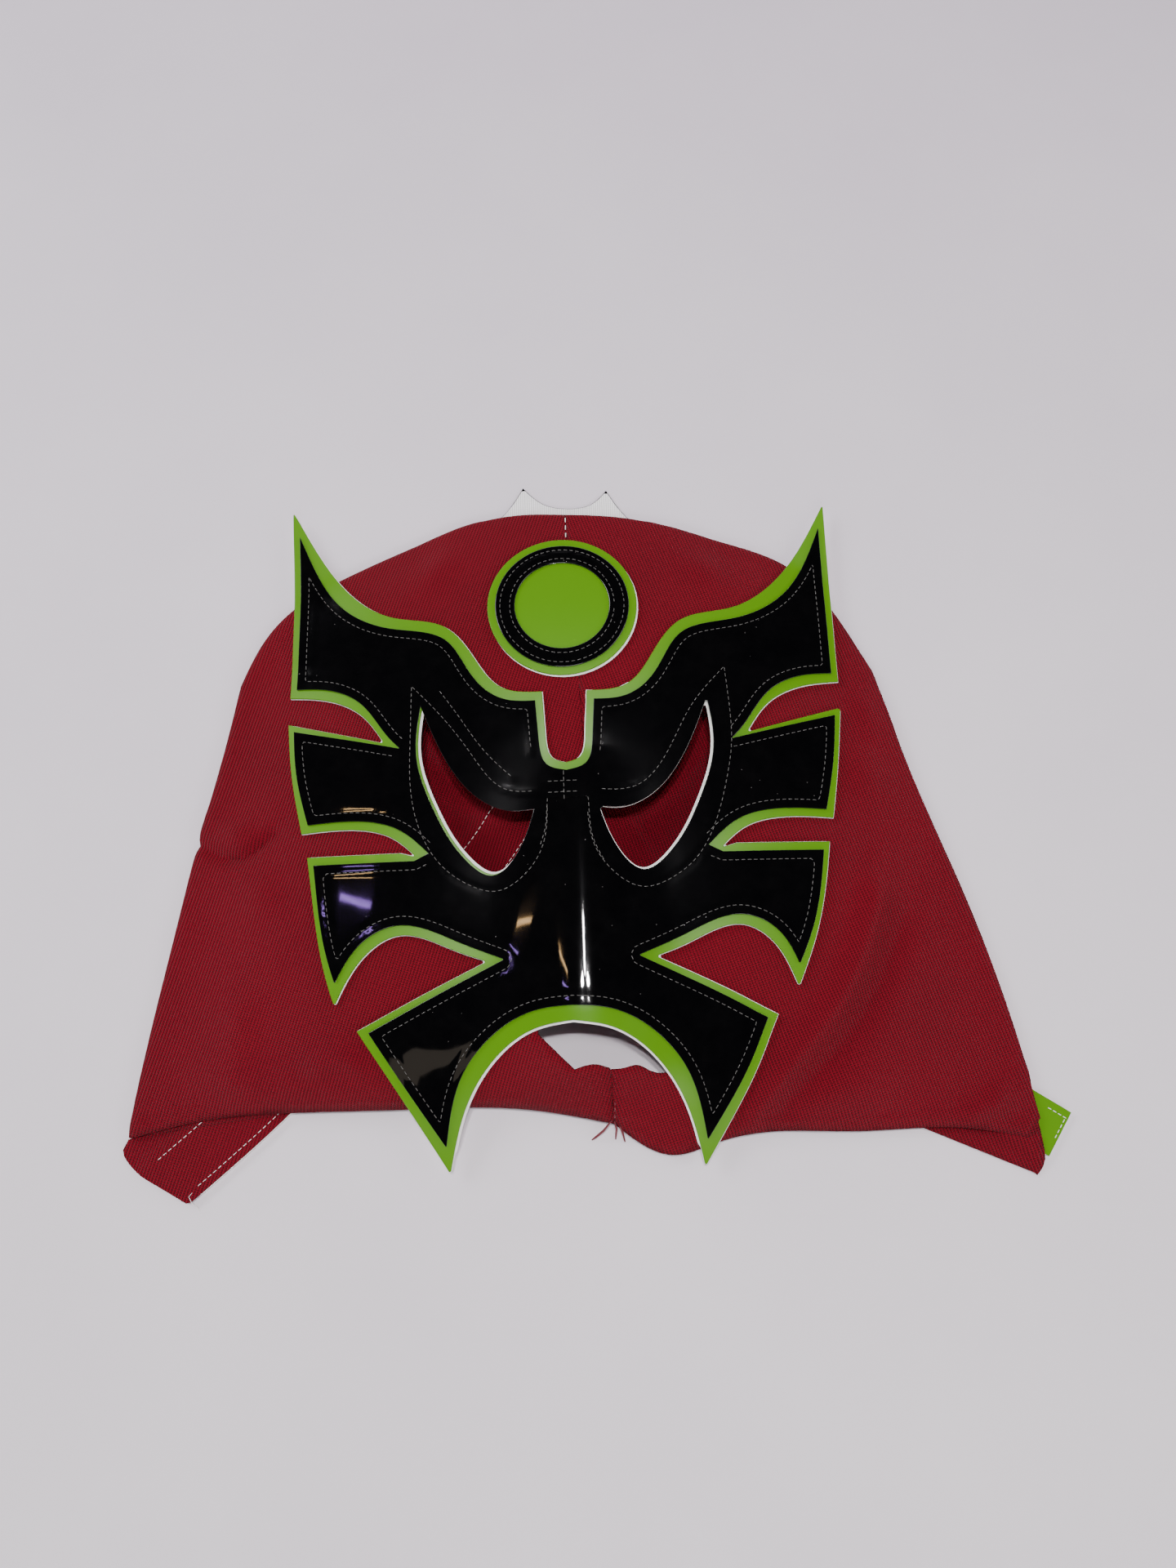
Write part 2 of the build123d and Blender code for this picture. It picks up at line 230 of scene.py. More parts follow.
rightSlit = [(seam, -61), (14, -105), (45, -150), (95, -179), (159, -207)]
mouthLoop = closed(
    [
        [(-12, -154), (0, -166)],
        [(0, -166), (8, -164.6), (14, -166.4), (22, -165.4), (26, -167.6), (33, -168)],
        [(33, -168), (38, -160), (28, -147), (10, -141), (-12, -143)],
        [(-12, -143), (-12, -154)],
    ],
    step,
)
leftHinge = np.array([(-157, -188.6), (-98, -181.6)])
rightHinge = np.array([(161.5, -172), (163.5, -204)])
leftSlitLine = smoothRun(leftSlit, step)
rightStripLine = np.concatenate(
    [
        smoothRun([(12, -76), (25, -104), (54, -142), (96, -162), (138.5, -175.5)], step)[:-1],
        smoothRun([(138.5, -175.5), (166.5, -193.5)], step),
    ]
)

form = dict(fold=2.6, dome=11, nose=9, crest=4.5, knit=0.8, raiseLeft=1.1, raiseRight=1.65, raiseCrest=1.1)


def fade(u):
    u = np.clip(np.abs(u), 0, 1)
    return 1 - 3 * u**4 + 2 * u**6


def halfWidth(y):
    top = 112 * (1 - np.maximum(0, (y + 20) / 64) ** 2.6) + 2
    low = 114 + 44 * (np.maximum(0, -20 - y) / 165) ** 0.9
    return np.where(y > -20, top, low)


def frontForm(p):  # inner height of the front, which carries the cloth and the decoration
    x, y = p.T
    crown = fade(np.maximum(0, y + 80) / 128)
    chin = fade(np.maximum(0, -110 - y) / 95)
    dome = form["dome"] * crown * chin * fade(x / np.maximum(halfWidth(y), 20))
    growth = np.clip((-55 - y) / 90, 0, 1)
    spread = 9 + 13 * growth
    lip = fade(np.maximum(0, -150 - y) / 30)
    return form["fold"] + dome + form["nose"] * growth * lip * np.exp(-(((x - form["crest"]) / spread) ** 2))


def bump(p, line, width, height):  # a soft fold along a line; a negative height makes a crease
    path = smoothRun(line, 3)
    ends = np.minimum(np.hypot(*(p - path[0]).T), np.hypot(*(p - path[-1]).T))
    along = np.clip(ends / (2.2 * width), 0.25, 1)
    return height * along * np.exp(-((distanceTo(p, path) / width) ** 2))


frontFolds = [  # line, width, height
    ([(-136, -82), (-127, -87.5), (-119, -89.5), (-111, -85), (-103, -79)], 1.7, -2.6),
    ([(-131, -78), (-121, -81), (-110, -76)], 5, 2.3),
    ([(-124, -97), (-112, -104), (-106, -118)], 7, 1.6),
    ([(50, -189), (73, -168), (97, -139), (112, -100)], 5, 3.2),
    ([(62, -190), (84, -168), (106, -140), (118, -112)], 6, -2.0),
    ([(60, -183), (88, -176), (118, -178)], 8, 2.0),
    ([(92, -62), (108, -66), (118, -86)], 8, 1.8),
    ([(-96, -166), (-80, -160), (-66, -164)], 4, 1.8),
    ([(-104, -172), (-120, -165), (-140, -168)], 7, 1.6),
    ([(-112, -130), (-118, -150), (-112, -168)], 8, 1.5),
    ([(128, -186), (141, -184), (153, -176)], 4, 2.0),
    ([(104, -30), (112, -44), (116, -60)], 6, 1.4),
    ([(19, -166), (17, -176), (19, -186)], 1.5, 1.0),
    ([(13.5, -167), (13, -176), (13, -184)], 0.9, -1.0),
    ([(-40, 32), (-46, 18), (-58, 8)], 6, 1.5),
    ([(46, 27), (52, 16), (66, 8)], 6, 1.5),
]
hemSeams = [
    smoothRun([(-149, -179), (-130, -175), (-99, -172.8), (-60, -172.8), (-19, -173.6), (8, -178.5)], 1.8),
    smoothRun([(19, -184), (33, -190), (49, -186.8), (97, -184.8), (132, -184.8), (151, -187.6)], 1.8),
]


def frontCloth(p):  # middle of the front cloth
    z = frontForm(p) + form["knit"] / 2
    for seamRun in hemSeams:
        z -= 0.5 * np.exp(-((distanceTo(p, seamRun) / 0.8) ** 2))
    free = np.where(inside(p, baseLoop), 0, np.clip((distanceTo(p, loopBack(baseLoop)) - 1) / 8, 0, 1))
    for line, width, height in frontFolds:
        z += bump(p, line, width, height) * free * free * (3 - 2 * free)
    hem = np.concatenate([smoothRun(hemLeft, 3), smoothRun(hemRight, 3)])
    roll = np.clip(1 - distanceTo(p, hem) / 5.5, 0, 1)
    z -= roll**2 * (z - 1.9) * 0.75
    return np.maximum(z, 1.6)


def ramp(d, edge, width):
    t = np.clip((edge + width - d) / width, 0, 1)
    return t * t * (3 - 2 * t)


backFolds = [
    ([(55, -46), (46, -60), (35, -71), (20, -76)], 2.2, 1.9),
    ([(50, -58), (38, -76), (28, -96)], 4, 0.9),
    ([(-52, -46), (-42, -56), (-28, -62), (-12, -62)], 2.6, 1.9),
    ([(-54, -60), (-42, -70), (-26, -76), (-10, -74)], 3.2, 1.6),
    ([(-52, -66), (-44, -84), (-30, -98)], 3.5, 1.0),
]


def backCloth(p):  # middle of the back cloth: on the table, raised over what is sewn under it
    left = form["raiseLeft"] * ramp(distanceTo(p, leftSlitLine), 20.3, 3)
    right = form["raiseRight"] * ramp(distanceTo(p, rightStripLine), 8.8, 3)
    crest = form["raiseCrest"] * ramp(distanceTo(p, np.array([(-14.0, 30), (16, 30)])), 15, 4)
    z = 0.45 + np.maximum(np.maximum(left, right), crest)
    for line, width, height in backFolds:
        z += bump(p, line, width, height)
    return z


# points and triangles inside a loop and outside the holes; the loop's own points come first
def triangulated(outer, holes, spacing, lines=()):
    low, high = outer.min(0), outer.max(0)
    rows = np.arange(low[1], high[1], spacing * 0.87)
    grid = []
    for k, y in enumerate(rows):
        across = np.arange(low[0] + spacing * (k % 2) / 2, high[0], spacing)
        grid.append(np.column_stack([across, np.full(len(across), y)]))
    grid = np.concatenate(grid)
    grid = grid[inside(grid, outer)]
    near = distanceTo(grid, loopBack(outer))
    for hole in holes:
        grid, near = grid[~inside(grid, hole)], near[~inside(grid, hole)]
        near = np.minimum(near, distanceTo(grid, loopBack(hole)))
    for line in lines:
        near = np.minimum(near, distanceTo(grid, line))
    grid = grid[near > spacing * 0.55]
    loops = [outer, *holes]
    points = [Vector(p) for loop in loops for p in loop]
    edges, start = [], 0
    for loop in loops:
        n = len(loop)
        edges += [(start + i, start + (i + 1) % n) for i in range(n)]
        start += n
    for line in lines:
        points += [Vector(p) for p in line]
        edges += [(start + i, start + i + 1) for i in range(len(line) - 1)]
        start += len(line)
    points += [Vector(p) for p in grid]
    verts, _, faces, origin, _, _ = delaunay_2d_cdt(points, edges, [], 0, 1e-5)
    verts = np.array(verts)
    faces = np.array([f for f in faces if len(f) == 3])
    middle = verts[faces].mean(1)
    keep = inside(middle, outer)
    for hole in holes:
        keep &= ~inside(middle, hole)
    faces = faces[keep]
    order = {}
    for new, olds in enumerate(origin):
        for old in olds:
            order[old] = new
    return verts, faces, [order[i] for i in range(len(outer))]


def meshObject(name, verts, faces, material, smooth=45):
    mesh = bpy.data.meshes.new(name)
    corners = [tuple(v) for v in np.asarray(verts) * mm]
    mesh.from_pydata(corners, [], [tuple(int(i) for i in f) for f in faces])
    mesh.validate()
    mesh.update()
    mesh.polygons.foreach_set("use_smooth", [True] * len(mesh.polygons))
    mesh.set_sharp_from_angle(angle=math.radians(smooth))
    thing = bpy.data.objects.new(name, mesh)
    bpy.context.scene.collection.objects.link(thing)
    mesh.materials.append(material)
    return thing


def boundaryEdges(faces):  # edges that only one triangle uses, in its direction
    count = {}
    for f in faces:
        for a, b in ((f[0], f[1]), (f[1], f[2]), (f[2], f[0])):
            key = (a, b) if a < b else (b, a)
            count.setdefault(key, []).append((a, b))
    return [found[0] for found in count.values() if len(found) == 1]


def facesUp(points, faces):
    a, b, c = points[faces[:, 0]], points[faces[:, 1]], points[faces[:, 2]]
    turn = (b[:, 0] - a[:, 0]) * (c[:, 1] - a[:, 1]) - (b[:, 1] - a[:, 1]) * (c[:, 0] - a[:, 0])
    flipped = faces.copy()
    flipped[turn < 0] = faces[turn < 0][:, ::-1]
    return flipped


# a closed sheet between two heights, each a function of the points, with softened edges
def plate(name, outer, holes, bottom, top, spacing, material, edge):
    points, faces, _ = triangulated(outer, holes, spacing)
    used = np.unique(faces)
    index = np.full(len(points), -1)
    index[used] = np.arange(len(used))
    points, faces = points[used], index[faces]
    faces = facesUp(points, faces)
    n = len(points)
    verts = np.concatenate([np.column_stack([points, height(points)]) for height in (bottom, top)])
    walls = [(a, b, b + n, a + n) for a, b in boundaryEdges(faces)]
    thing = meshObject(name, verts, [*(faces + n), *faces[:, ::-1], *walls], material)
    bevel = thing.modifiers.new("edge", "BEVEL")
    bevel.width = edge * mm
    bevel.segments = 2
    bevel.angle_limit = math.radians(60)
    return thing


# short rounded threads: each spot is a list of points that the thread runs through
def capsules(name, spots, material, radius, sides=6):
    verts, faces = [], []
    for spot in spots:
        p = np.array(spot, float)
        first = len(verts)
        for i, q in enumerate(p):
            along = p[min(i + 1, len(p) - 1)] - p[max(i - 1, 0)]
            along /= np.linalg.norm(along)
            side = np.cross(along, [0, 0, 1])
            side /= max(np.linalg.norm(side), 1e-6)
            up = np.cross(side, along)
            r = radius * (0.55 if i in (0, len(p) - 1) else 1)
            for k in range(sides):
                t = 2 * math.pi * k / sides
                verts.append(q + r * (math.cos(t) * side + math.sin(t) * up))
        for i in range(len(p) - 1):
            for k in range(sides):
                a, b = first + i * sides + k, first + i * sides + (k + 1) % sides
                faces.append((a, a + sides, b + sides, b))
        faces.append(tuple(first + k for k in range(sides)))
        faces.append(tuple(first + (len(p) - 1) * sides + k for k in reversed(range(sides))))
    return meshObject(name, verts, faces, material, smooth=80)


print("helpers ready")


def newGroup(name, inputs, outputs):
    group = bpy.data.node_groups.new(name, "ShaderNodeTree")
    for label, kind, value in inputs:
        socket = group.interface.new_socket(label, in_out="INPUT", socket_type=kind)
        if value is not None:
            socket.default_value = value
    for label, kind in outputs:
        group.interface.new_socket(label, in_out="OUTPUT", socket_type=kind)
    return group, group.nodes.new("NodeGroupInput"), group.nodes.new("NodeGroupOutput")


def mathNode(tree, operation, a, b=None, c=None):
    node = tree.nodes.new("ShaderNodeMath")
    node.operation = operation
    for i, value in enumerate((a, b, c)):
        if isinstance(value, (int, float)):
            node.inputs[i].default_value = value
        elif value is not None:
            tree.links.new(value, node.inputs[i])
    return node.outputs[0]


def noiseNode(tree, vector, scale, detail=3, rough=0.5):
    node = tree.nodes.new("ShaderNodeTexNoise")
    tree.links.new(vector, node.inputs["Vector"])
    if isinstance(scale, (int, float)):
        node.inputs["Scale"].default_value = scale
    else:
        tree.links.new(scale, node.inputs["Scale"])
    node.inputs["Detail"].default_value = detail
    node.inputs["Roughness"].default_value = rough
    return node.outputs["Fac"]


def makeKnitWeave():  # columns of small slanted stitches
    g, i, o = newGroup(
        "knitWeave",
        [
            ("Vector", "NodeSocketVector", None),
            ("Pitch", "NodeSocketFloat", 0.001),
            ("Slant", "NodeSocketFloat", 0.3),
        ],
        [("Height", "NodeSocketFloat"), ("Tone", "NodeSocketFloat")],
    )
    turn = g.nodes.new("ShaderNodeVectorRotate")
    turn.rotation_type = "Z_AXIS"
    g.links.new(i.outputs["Vector"], turn.inputs["Vector"])
    g.links.new(i.outputs["Slant"], turn.inputs["Angle"])
    split = g.nodes.new("ShaderNodeSeparateXYZ")
    g.links.new(turn.outputs[0], split.inputs[0])
    wobble = noiseNode(g, i.outputs["Vector"], 900, 2)
    k = mathNode(g, "DIVIDE", 2 * math.pi, i.outputs["Pitch"])
    x = mathNode(g, "MULTIPLY", split.outputs["X"], k)
    x = mathNode(g, "MULTIPLY_ADD", wobble, 0.9, x)
    y = mathNode(g, "MULTIPLY", split.outputs["Y"], mathNode(g, "MULTIPLY", k, 1.3))
    column = mathNode(g, "SINE", x)
    stitch = mathNode(g, "SINE", mathNode(g, "MULTIPLY_ADD", column, 1.7, y))
    height = mathNode(g, "MULTIPLY_ADD", column, 0.3, 0.5)
    height = mathNode(g, "MULTIPLY_ADD", stitch, 0.2, height)
    g.links.new(height, o.inputs["Height"])
    cloud = noiseNode(g, i.outputs["Vector"], 22, 4)
    paintedSparkle = noiseNode(g, i.outputs["Vector"], 1500, 1)
    # the tone is lighter on the raised stitches and darker in the hollows between them, which is painted
    # shade; the cloud varies the yarn's own colour; the fine specks are painted sparkle
    tone = mathNode(g, "MULTIPLY_ADD", height, 1.3, -0.02)
    tone = mathNode(g, "MULTIPLY_ADD", cloud, 0.35, tone)
    tone = mathNode(g, "MULTIPLY_ADD", paintedSparkle, 0.35, tone)
    g.links.new(mathNode(g, "SUBTRACT", tone, 0.22), o.inputs["Tone"])
    return g


def makeDustSpecks():  # lint and fine dust that lies on the glossy pieces, and a slow ripple of the sheet
    g, i, o = newGroup(
        "dustSpecks",
        [
            ("Vector", "NodeSocketVector", None),
            ("Amount", "NodeSocketFloat", 0.5),
            ("Ripple", "NodeSocketFloat", 60),
        ],
        [("Mask", "NodeSocketFloat"), ("Height", "NodeSocketFloat")],
    )
    cells = g.nodes.new("ShaderNodeTexVoronoi")
    cells.inputs["Scale"].default_value = 260
    g.links.new(i.outputs["Vector"], cells.inputs["Vector"])
    spots = mathNode(g, "LESS_THAN", cells.outputs["Distance"], 0.055)
    where = noiseNode(g, i.outputs["Vector"], 45, 3)
    haze = mathNode(g, "MULTIPLY", noiseNode(g, i.outputs["Vector"], 130, 5, 0.7), 0.25)
    mask = mathNode(g, "MULTIPLY", spots, mathNode(g, "GREATER_THAN", where, 0.56))
    mask = mathNode(g, "ADD", mask, mathNode(g, "POWER", haze, 2))
    mask = mathNode(g, "MULTIPLY", mask, i.outputs["Amount"])
    g.links.new(mask, o.inputs["Mask"])
    g.links.new(noiseNode(g, i.outputs["Vector"], i.outputs["Ripple"], 2), o.inputs["Height"])
    return g


def makeFibreGrain():  # felt and tape fibres
    g, i, o = newGroup(
        "fibreGrain",
        [("Vector", "NodeSocketVector", None), ("Scale", "NodeSocketFloat", 1500)],
        [("Height", "NodeSocketFloat"), ("Tone", "NodeSocketFloat")],
    )
    fine = noiseNode(g, i.outputs["Vector"], i.outputs["Scale"], 4, 0.7)
    slow = noiseNode(g, i.outputs["Vector"], 60, 3)
    g.links.new(fine, o.inputs["Height"])
    tone = mathNode(g, "MULTIPLY_ADD", fine, 0.35, 0.68)
    g.links.new(mathNode(g, "MULTIPLY_ADD", slow, 0.25, tone), o.inputs["Tone"])
    return g


knitWeave, dustSpecks, fibreGrain = makeKnitWeave(), makeDustSpecks(), makeFibreGrain()


def newMaterial(name):
    material = bpy.data.materials.new(name)
    material.use_nodes = True
    tree = material.node_tree
    tree.nodes.clear()
    out = tree.nodes.new("ShaderNodeOutputMaterial")
    shader = tree.nodes.new("ShaderNodeBsdfPrincipled")
    tree.links.new(shader.outputs[0], out.inputs[0])
    where = tree.nodes.new("ShaderNodeTexCoord").outputs["Object"]
    return material, tree, shader, where


def placeGroup(tree, group, where, **values):
    node = tree.nodes.new("ShaderNodeGroup")
    node.node_tree = group
    tree.links.new(where, node.inputs["Vector"])
    for label, value in values.items():
        node.inputs[label].default_value = value
    return node


def tinted(tree, tone, dark, light):  # a colour between two, by a tone
    mix = tree.nodes.new("ShaderNodeMix")
    mix.data_type = "RGBA"
    tree.links.new(tone, mix.inputs["Factor"])
    mix.inputs[6].default_value = (*dark, 1)
    mix.inputs[7].default_value = (*light, 1)
    return mix.outputs[2]


def addBump(tree, shader, height, strength, distance):
    node = tree.nodes.new("ShaderNodeBump")
    node.inputs["Strength"].default_value = strength
    node.inputs["Distance"].default_value = distance
    tree.links.new(height, node.inputs["Height"])
    tree.links.new(node.outputs[0], shader.inputs["Normal"])


knitLook = dict(
    dark=(0.022, 0.0004, 0.0018), light=(0.205, 0.0026, 0.0125), pitch=0.0011, rough=0.85, sheen=0.03
)


def knitMaterial(name, slant):
    material, tree, shader, where = newMaterial(name)
    weave = placeGroup(tree, knitWeave, where, Pitch=knitLook["pitch"], Slant=slant)
    # the weave's tone carries painted shade in the stitch hollows and painted sparkle, besides the yarn's own
    # colour
    colour = tinted(tree, weave.outputs["Tone"], knitLook["dark"], knitLook["light"])
    tree.links.new(colour, shader.inputs["Base Color"])
    shader.inputs["Roughness"].default_value = knitLook["rough"]
    shader.inputs["Sheen Weight"].default_value = knitLook["sheen"]
    shader.inputs["Sheen Roughness"].default_value = 0.4
    shader.inputs["Specular IOR Level"].default_value = 0.12
    addBump(tree, shader, weave.outputs["Height"], 1.0, 0.0007)
    return material


glossLook = dict(
    patent=dict(
        dark=(0.0006, 0.0006, 0.0009),
        dust=(0.10, 0.095, 0.09),
        rough=0.05,
        coat=1.0,
        ripple=42,
        swell=0.00032,
        amount=0.5,
    ),
    vinyl=dict(
        dark=(0.075, 0.225, 0.0002),
        dust=(0.16, 0.34, 0.01),
        rough=0.34,
        coat=0.08,
        ripple=70,
        swell=0.00012,
        amount=0.25,
    ),
)


def glossMaterial(name, look):
    material, tree, shader, where = newMaterial(name)
    dust = placeGroup(tree, dustSpecks, where, Amount=look["amount"], Ripple=look["ripple"])
    colour = tinted(tree, dust.outputs["Mask"], look["dark"], look["dust"])
    tree.links.new(colour, shader.inputs["Base Color"])
    rough = mathNode(tree, "MULTIPLY_ADD", dust.outputs["Mask"], 0.4, look["rough"])
    tree.links.new(rough, shader.inputs["Roughness"])
    shader.inputs["Coat Weight"].default_value = look["coat"]
    shader.inputs["Specular IOR Level"].default_value = 0.5 if look["coat"] > 0.5 else 0.25
    shader.inputs["Coat Roughness"].default_value = 0.03
    addBump(tree, shader, dust.outputs["Height"], 0.5, look["swell"])
    return material


def fibreMaterial(name, dark, light, scale, depth, rough=0.9):
    material, tree, shader, where = newMaterial(name)
    grain = placeGroup(tree, fibreGrain, where, Scale=scale)
    tree.links.new(tinted(tree, grain.outputs["Tone"], dark, light), shader.inputs["Base Color"])
    shader.inputs["Roughness"].default_value = rough
    addBump(tree, shader, grain.outputs["Height"], 0.6, depth)
    return material


def ribMaterial(name, pitch):
    material, tree, shader, where = newMaterial(name)
    split = tree.nodes.new("ShaderNodeSeparateXYZ")
    tree.links.new(where, split.inputs[0])
    rib = mathNode(tree, "SINE", mathNode(tree, "MULTIPLY", split.outputs["X"], 2 * math.pi / pitch))
    purl = mathNode(tree, "SINE", mathNode(tree, "MULTIPLY", split.outputs["Y"], 2 * math.pi / pitch * 1.4))
    height = mathNode(tree, "MULTIPLY_ADD", rib, 0.4, mathNode(tree, "MULTIPLY_ADD", purl, 0.08, 0.5))
    grain = placeGroup(tree, fibreGrain, where, Scale=1800.0)
    # the colour follows the rib height, darker in the grooves between the ribs: painted shade, times the
    # fibre grain's own tone
    tone = mathNode(tree, "MULTIPLY", height, grain.outputs["Tone"])
    tree.links.new(tinted(tree, tone, (0.60, 0.58, 0.58), (1.0, 0.99, 0.99)), shader.inputs["Base Color"])
    shader.inputs["Roughness"].default_value = 0.8
    addBump(tree, shader, height, 0.6, 0.0002)
    return material


redLeft = knitMaterial("redKnitLeft", 0.32)
redRight = knitMaterial("redKnitRight", -0.32)
blackPatent = glossMaterial("blackPatent", glossLook["patent"])
greenVinyl = glossMaterial("greenVinyl", glossLook["vinyl"])
whiteBacking = fibreMaterial("whiteBacking", (0.50, 0.49, 0.47), (0.86, 0.85, 0.82), 1600.0, 0.00006)
tapeFibre = fibreMaterial("tapeFibre", (0.35, 0.34, 0.33), (0.80, 0.79, 0.77), 2400.0, 0.0004)
paleThread = fibreMaterial("paleThread", (0.42, 0.40, 0.38), (0.85, 0.83, 0.80), 3000.0, 0.00003, 0.35)
clearThread = fibreMaterial("clearThread", (0.01, 0.01, 0.01), (0.10, 0.097, 0.09), 3000.0, 0.00003, 0.3)
redThread = fibreMaterial("redThread", (0.05, 0.004, 0.008), (0.14, 0.012, 0.02), 3000.0, 0.00003, 0.5)
whiteRib = ribMaterial("whiteRib", 0.00082)
print("materials ready")


def place(thing, body, slotName, *replaced):
    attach(thing, body)
    if replaced:
        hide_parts(*replaced)
    return thing


clothLook = dict(spacing=2.3, thickness=0.8, foldRows=(50, 17, -17, -50))


# one half of the hood as one cloth: the front, the fold at the side and the back
def hoodHalf(name, side, frontRest, backRest, holes, material):
    frontLoop = np.concatenate([side, frontRest])
    backLoop = np.concatenate([side, backRest])
    verts, faces = [], []
    sides = []
    hemSeam = hemSeams[0] if side[-1][0] < 0 else hemSeams[1]
    for loop, loopHoles, height, lines in (
        (frontLoop, holes, frontCloth, [hemSeam]),
        (backLoop, [], backCloth, []),
    ):
        points, tris, order = triangulated(loop, loopHoles, clothLook["spacing"], lines)
        tris = facesUp(points, tris)
        base = len(verts)
        verts += [tuple(v) for v in np.column_stack([points, height(points)])]
        faces += [tuple(f + base) if loop is frontLoop else tuple(f[::-1] + base) for f in tris]
        sides.append([base + order[i] for i in range(len(side))])
    tangent = np.gradient(side, axis=0)
    out = np.stack([tangent[:, 1], -tangent[:, 0]], 1) / np.hypot(*tangent.T)[:, None]
    flip = area(frontLoop) < 0
    if flip:
        out = -out
    rows = [sides[0]]
    top = np.array([verts[i] for i in sides[0]])
    low = np.array([verts[i] for i in sides[1]])
    middle, radius = (top[:, 2] + low[:, 2]) / 2, (top[:, 2] - low[:, 2]) / 2
    for degrees in clothLook["foldRows"]:
        t = math.radians(degrees)
        ring = np.column_stack([side + out * (radius * math.cos(t))[:, None], middle + radius * math.sin(t)])
        rows.append(list(range(len(verts), len(verts) + len(side))))
        verts += [tuple(v) for v in ring]
    rows.append(sides[1])
    for upper, lower in zip(rows, rows[1:]):
        for i in range(len(side) - 1):
            quad = (upper[i], lower[i], lower[i + 1], upper[i + 1])
            faces.append(quad if not flip else quad[::-1])
    verts = np.array(verts)
    used = np.unique([i for f in faces for i in f])
    index = np.full(len(verts), -1)
    index[used] = np.arange(len(used))
    thing = meshObject(name, verts[used], [tuple(index[i] for i in f) for f in faces], material, 75)
    solid = thing.modifiers.new("cloth", "SOLIDIFY")
    solid.thickness = clothLook["thickness"] * mm
    solid.offset = 0
    return thing, frontLoop, backLoop


leftEdge = joined([leftTop, leftSide], 2.2)
rightEdge = joined([rightTop, rightSide], 2.2)
hemLeftLine, hemRightLine = smoothRun(hemLeft, 2.2), smoothRun(hemRight, 2.2)
backSeam = smoothRun([(seam, -61), (seam, crownY)], 2.2)
cutLine = leftHinge + np.array([0.47, 3.97])  # the hood's cloth ends here, at the corner
slitAbove = leftSlitLine[leftSlitLine[:, 1] > cutLine[1][1] + 0.5]
slitBelow = leftSlitLine[leftSlitLine[:, 1] <= cutLine[1][1] + 0.5]
cutRun = smoothRun([(-153.5, -184.9), (-99.5, -178.3)], 2.2)
eyeCloth = [offsetLoop(eyeLeft, 0.6), offsetLoop(eyeRight, 0.6)]


def seamAcross(y):
    return seam + (chinSeam - seam) * (crownY - y) / (crownY - chinY)


# the edge of one front half along the mouth, from the seam above it to the seam below
def aroundMouth(keepLeft):
    middle = seamAcross(mouthLoop[:, 1])
    mine = mouthLoop[:, 0] < middle if keepLeft else mouthLoop[:, 0] > middle
    first = next(i for i in range(len(mouthLoop)) if mine[i] and not mine[i - 1])
    run = []
    for k in range(len(mouthLoop)):
        i = (first + k) % len(mouthLoop)
        if not mine[i]:
            break
        run.append(mouthLoop[i])
    run = np.array(run)
    if run[0][1] < run[-1][1]:
        run = run[::-1]
    ends = [(seamAcross(y), y) for y in (run[0][1], run[-1][1])]
    return np.array([ends[0], *run[1:-1], ends[1]])


mouthLeft = aroundMouth(True)
mouthRight = aroundMouth(False)


def seamAround(mouthRun):  # the front seam from the hem up to the crown, led round the mouth
    below = smoothRun([(chinSeam, chinY), tuple(mouthRun[-1])], 2.2)
    over = smoothRun([tuple(mouthRun[0]), (seam, crownY)], 2.2)
    return np.concatenate([below[:-1], mouthRun[::-1][:-1], over])


leftFrontRest = np.concatenate([hemLeftLine[1:], seamAround(mouthLeft)[1:-1]])
rightFrontRest = np.concatenate([[(158.2, -191.5)], hemRightLine[::-1], seamAround(mouthRight)[1:-1]])
leftBackRest = np.concatenate([cutRun, slitAbove[::-1], backSeam[1:-1]])
rightCorner = smoothRun([(159, -188), (160.2, -198), (159.8, -204), (157.5, -206.8)], 2.2)
rightBackRest = np.concatenate([rightCorner[1:], smoothRun(rightSlit, 2.2)[::-1][1:], backSeam[1:-1]])

hoodLeft, leftFrontLoop, leftBackLoop = hoodHalf(
    "hood_left_half", leftEdge, leftFrontRest, leftBackRest, [eyeCloth[0]], redLeft
)
place(hoodLeft, "hood", "red_knit", "front_left_panel", "back_left_panel")
hoodRight, rightFrontLoop, rightBackLoop = hoodHalf(
    "hood_right_half", rightEdge, rightFrontRest, rightBackRest, [eyeCloth[1]], redRight
)
place(hoodRight, "hood", "red_knit", "front_right_panel", "back_right_panel")
print("hood cloth made")


# bake a piece's placement into its mesh; the piece is not turned about the fold line
def bent(thing, fold, before, after, *bodies):
    along = fold[1] - fold[0]
    across = np.array([along[1], -along[0]]) / np.hypot(*along)
    if bodies[1] == "right_tab":
        across = -across
    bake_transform(thing)


def level(z):
    return lambda p: np.full(len(p), float(z))


def above(height, rise):
    return lambda p: height(p) + rise


cornerEdge = [(-134.6, -207.2), (-146.5, -200.2), (-155.6, -193.2), (-157.4, -189), (-155.6, -185.6)]
cornerLoop = np.concatenate([cutRun, slitBelow, smoothRun(cornerEdge, 2.0)])
cornerCloth = plate(
    "hood_left_corner", cornerLoop, [], above(backCloth, -0.4), above(backCloth, 0.4), 2.0, redLeft, edge=0.25
)
bent(cornerCloth, leftHinge, 1.0, 1.6, "hood", "left_corner")
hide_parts("corner_cloth")


# a strip between two distances from a line, on its left (positive) or right side
def bandAlong(line, near, far):
    tangent = np.gradient(line, axis=0)
    normal = np.stack([-tangent[:, 1], tangent[:, 0]], 1) / np.hypot(*tangent.T)[:, None]
    return np.concatenate([line + normal * near, (line + normal * far)[::-1]])


